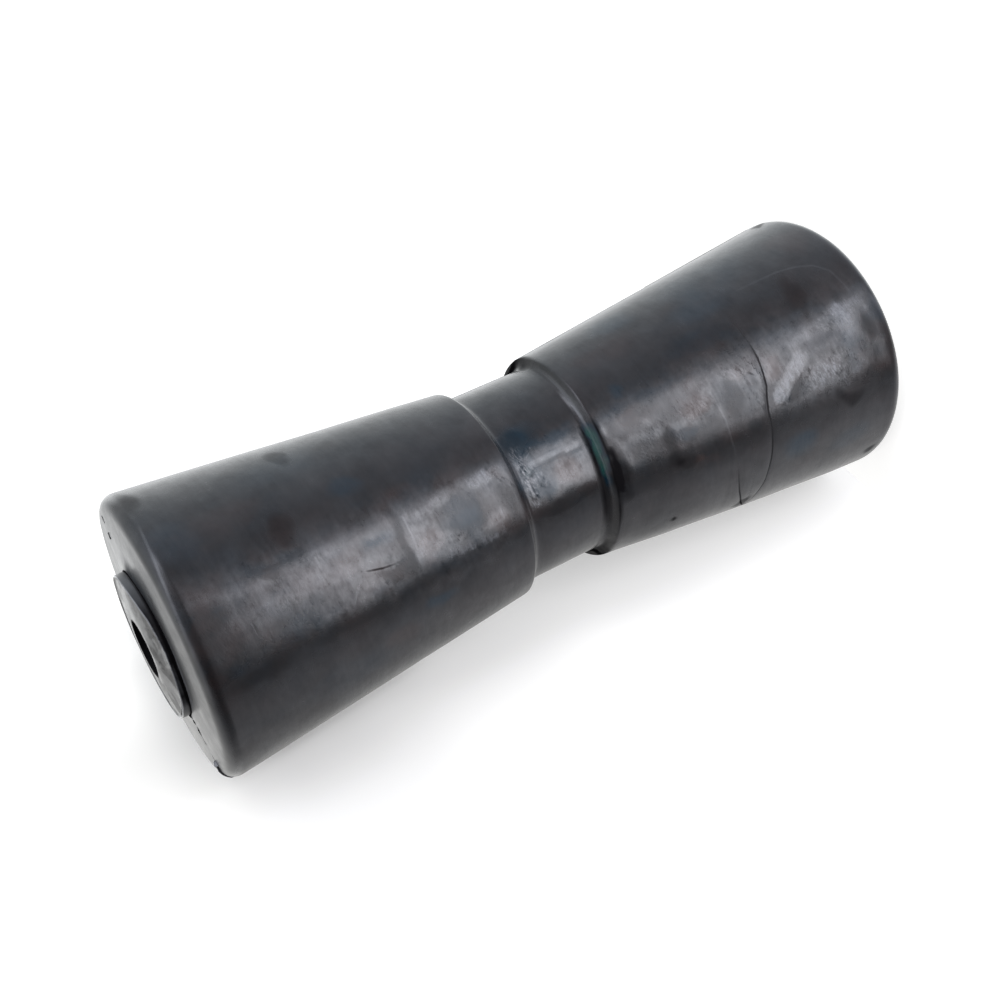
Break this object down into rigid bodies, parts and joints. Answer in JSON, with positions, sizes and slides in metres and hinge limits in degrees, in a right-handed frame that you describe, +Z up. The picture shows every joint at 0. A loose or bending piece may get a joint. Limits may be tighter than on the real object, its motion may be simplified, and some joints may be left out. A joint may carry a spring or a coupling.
{
  "type": "boat trailer keel roller",
  "caption": "Solid black rubber keel roller: cones widening from a stepped waist, a hub boss on each end and a plain through-bore for a spindle.",
  "frame": {"origin": "middle of the lower boss's flat land, which the roller stands on", "axes": "+Z up along the bore, which is the axis that the roller turns on; +X lies in the mould's parting plane; the pictured side faces -Y"},
  "size_m": [0.1054, 0.1048, 0.3],
  "materials": {
    "black_rubber": "satin moulded rubber, faintly mottled, with scuffs and a thin seam"
  },
  "bodies": {
    "root": {"keel_roller": "black_rubber"}
  },
  "joints": []
}
